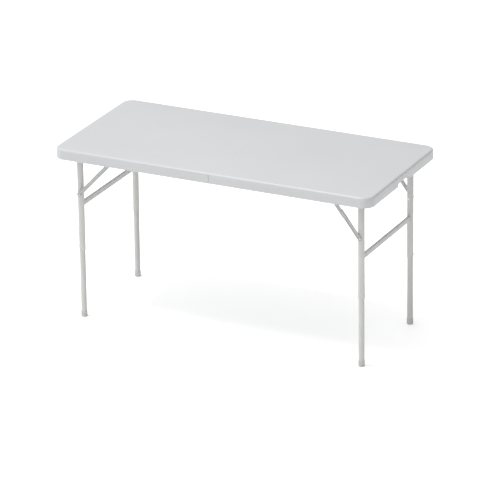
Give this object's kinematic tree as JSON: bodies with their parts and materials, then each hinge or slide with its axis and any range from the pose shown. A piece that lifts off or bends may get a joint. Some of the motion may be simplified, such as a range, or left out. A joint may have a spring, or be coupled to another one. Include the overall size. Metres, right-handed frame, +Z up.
{
  "type": "folding table",
  "caption": "Folding outdoor table: rounded plastic top in two hinged halves, steel leg frames with extending legs that fold flat under it.",
  "frame": {"origin": "on the floor under the middle of the table top", "axes": "+X along the table's length, +Y across its width, +Z up; the feet stand on z = 0"},
  "size_m": [1.381, 0.643, 0.74],
  "materials": {
    "top": "fine grained satin",
    "leg_paint": "satin powder coat",
    "rail_paint": "satin powder coat",
    "brace_paint": "satin powder coat",
    "zinc": "zinc plated",
    "plastic": "moulded",
    "foot_plastic": "moulded, non-marking"
  },
  "bodies": {
    "left_half": {"left_top": "top", "left_front_rail": "rail_paint", "left_front_pivot_bush": "plastic", "left_front_rail_pin": "zinc", "left_front_hinge_plate": "zinc", "left_rear_rail": "rail_paint", "left_rear_pivot_bush": "plastic", "left_rear_rail_pin": "zinc", "left_rear_hinge_plate": "zinc", "front_hinge_pin": "zinc", "rear_hinge_pin": "zinc"},
    "right_half": {"right_top": "top", "right_front_rail": "rail_paint", "right_front_pivot_bush": "plastic", "right_front_rail_pin": "zinc", "right_front_hinge_plate": "zinc", "right_rear_rail": "rail_paint", "right_rear_pivot_bush": "plastic", "right_rear_rail_pin": "zinc", "right_rear_hinge_plate": "zinc"},
    "left_leg_frame": {"left_pivot_tube": "leg_paint", "left_crossbar": "leg_paint", "left_front_upper_leg": "leg_paint", "left_front_leg_bolt": "zinc", "left_rear_upper_leg": "leg_paint", "left_rear_leg_bolt": "zinc"},
    "left_front_extension": {"left_front_lower_leg": "leg_paint", "left_front_foot_cap": "foot_plastic"},
    "left_front_rail_brace": {"left_front_rail_link": "brace_paint", "left_front_knee_rivet": "brace_paint"},
    "left_front_leg_brace": {"left_front_leg_link": "brace_paint"},
    "left_front_button": {"left_front_snap_button": "zinc"},
    "left_rear_extension": {"left_rear_lower_leg": "leg_paint", "left_rear_foot_cap": "foot_plastic"},
    "left_rear_rail_brace": {"left_rear_rail_link": "brace_paint", "left_rear_knee_rivet": "brace_paint"},
    "left_rear_leg_brace": {"left_rear_leg_link": "brace_paint"},
    "left_rear_button": {"left_rear_snap_button": "zinc"},
    "right_leg_frame": {"right_pivot_tube": "leg_paint", "right_crossbar": "leg_paint", "right_front_upper_leg": "leg_paint", "right_front_leg_bolt": "zinc", "right_rear_upper_leg": "leg_paint", "right_rear_leg_bolt": "zinc"},
    "right_front_extension": {"right_front_lower_leg": "leg_paint", "right_front_foot_cap": "foot_plastic"},
    "right_front_rail_brace": {"right_front_rail_link": "brace_paint", "right_front_knee_rivet": "brace_paint"},
    "right_front_leg_brace": {"right_front_leg_link": "brace_paint"},
    "right_front_button": {"right_front_snap_button": "zinc"},
    "right_rear_extension": {"right_rear_lower_leg": "leg_paint", "right_rear_foot_cap": "foot_plastic"},
    "right_rear_rail_brace": {"right_rear_rail_link": "brace_paint", "right_rear_knee_rivet": "brace_paint"},
    "right_rear_leg_brace": {"right_rear_leg_link": "brace_paint"},
    "right_rear_button": {"right_rear_snap_button": "zinc"}
  },
  "joints": [
    {"name": "center_fold", "type": "hinge", "parent": "left_half", "child": "right_half", "pos_m": [0, 0, 0.692], "axis": [0, 1, 0], "range_deg": [0, 75]},
    {"name": "left_leg_fold", "type": "hinge", "parent": "left_half", "child": "left_leg_frame", "pos_m": [-0.614, 0, 0.713], "axis": [0, -1, 0], "range_deg": [0, 90]},
    {"name": "left_front_leg_extend", "type": "slide", "parent": "left_leg_frame", "child": "left_front_extension", "axis": [0, 0, 1], "range_m": [0, 0.17]},
    {"name": "left_front_rail_brace_turn", "type": "hinge", "parent": "left_half", "child": "left_front_rail_brace", "pos_m": [-0.441, -0.254, 0.713], "axis": [0, 1, 0], "range_deg": [0, 46.62]},
    {"name": "left_front_leg_brace_turn", "type": "hinge", "parent": "left_leg_frame", "child": "left_front_leg_brace", "pos_m": [-0.614, -0.2498, 0.53], "axis": [0, -1, 0], "range_deg": [0, 43.4]},
    {"name": "left_front_button_press", "type": "slide", "parent": "left_leg_frame", "child": "left_front_button", "axis": [1, 0, 0], "range_m": [0, 0.0025], "stiffness_N_per_m": 800, "springref_m": -0.002},
    {"name": "left_rear_leg_extend", "type": "slide", "parent": "left_leg_frame", "child": "left_rear_extension", "axis": [0, 0, 1], "range_m": [0, 0.17]},
    {"name": "left_rear_rail_brace_turn", "type": "hinge", "parent": "left_half", "child": "left_rear_rail_brace", "pos_m": [-0.441, 0.254, 0.713], "axis": [0, 1, 0], "range_deg": [0, 46.62]},
    {"name": "left_rear_leg_brace_turn", "type": "hinge", "parent": "left_leg_frame", "child": "left_rear_leg_brace", "pos_m": [-0.614, 0.2498, 0.53], "axis": [0, -1, 0], "range_deg": [0, 43.4]},
    {"name": "left_rear_button_press", "type": "slide", "parent": "left_leg_frame", "child": "left_rear_button", "axis": [1, 0, 0], "range_m": [0, 0.0025], "stiffness_N_per_m": 800, "springref_m": -0.002},
    {"name": "right_leg_fold", "type": "hinge", "parent": "right_half", "child": "right_leg_frame", "pos_m": [0.614, 0, 0.713], "axis": [0, 1, 0], "range_deg": [0, 90]},
    {"name": "right_front_leg_extend", "type": "slide", "parent": "right_leg_frame", "child": "right_front_extension", "axis": [0, 0, 1], "range_m": [0, 0.17]},
    {"name": "right_front_rail_brace_turn", "type": "hinge", "parent": "right_half", "child": "right_front_rail_brace", "pos_m": [0.484, -0.254, 0.713], "axis": [0, -1, 0], "range_deg": [0, 53.09]},
    {"name": "right_front_leg_brace_turn", "type": "hinge", "parent": "right_leg_frame", "child": "right_front_leg_brace", "pos_m": [0.614, -0.2498, 0.54], "axis": [0, 1, 0], "range_deg": [0, 36.93]},
    {"name": "right_front_button_press", "type": "slide", "parent": "right_leg_frame", "child": "right_front_button", "axis": [-1, 0, 0], "range_m": [0, 0.0025], "stiffness_N_per_m": 800, "springref_m": -0.002},
    {"name": "right_rear_leg_extend", "type": "slide", "parent": "right_leg_frame", "child": "right_rear_extension", "axis": [0, 0, 1], "range_m": [0, 0.17]},
    {"name": "right_rear_rail_brace_turn", "type": "hinge", "parent": "right_half", "child": "right_rear_rail_brace", "pos_m": [0.484, 0.254, 0.713], "axis": [0, -1, 0], "range_deg": [0, 53.09]},
    {"name": "right_rear_leg_brace_turn", "type": "hinge", "parent": "right_leg_frame", "child": "right_rear_leg_brace", "pos_m": [0.614, 0.2498, 0.54], "axis": [0, 1, 0], "range_deg": [0, 36.93]},
    {"name": "right_rear_button_press", "type": "slide", "parent": "right_leg_frame", "child": "right_rear_button", "axis": [-1, 0, 0], "range_m": [0, 0.0025], "stiffness_N_per_m": 800, "springref_m": -0.002}
  ],
  "couplings": [
    {"joint": "left_front_leg_extend", "follows": "left_leg_fold", "m_per_rad": 0.10822},
    {"joint": "left_front_rail_brace_turn", "follows": "left_leg_fold", "ratio": 0.51788},
    {"joint": "left_front_leg_brace_turn", "follows": "left_leg_fold", "ratio": 0.48212},
    {"joint": "left_rear_leg_extend", "follows": "left_leg_fold", "m_per_rad": 0.10822},
    {"joint": "left_rear_rail_brace_turn", "follows": "left_leg_fold", "ratio": 0.51788},
    {"joint": "left_rear_leg_brace_turn", "follows": "left_leg_fold", "ratio": 0.48212},
    {"joint": "right_front_leg_extend", "follows": "right_leg_fold", "m_per_rad": 0.10822},
    {"joint": "right_front_rail_brace_turn", "follows": "right_leg_fold", "ratio": 0.58975},
    {"joint": "right_front_leg_brace_turn", "follows": "right_leg_fold", "ratio": 0.41025},
    {"joint": "right_rear_leg_extend", "follows": "right_leg_fold", "m_per_rad": 0.10822},
    {"joint": "right_rear_rail_brace_turn", "follows": "right_leg_fold", "ratio": 0.58975},
    {"joint": "right_rear_leg_brace_turn", "follows": "right_leg_fold", "ratio": 0.41025}
  ]
}
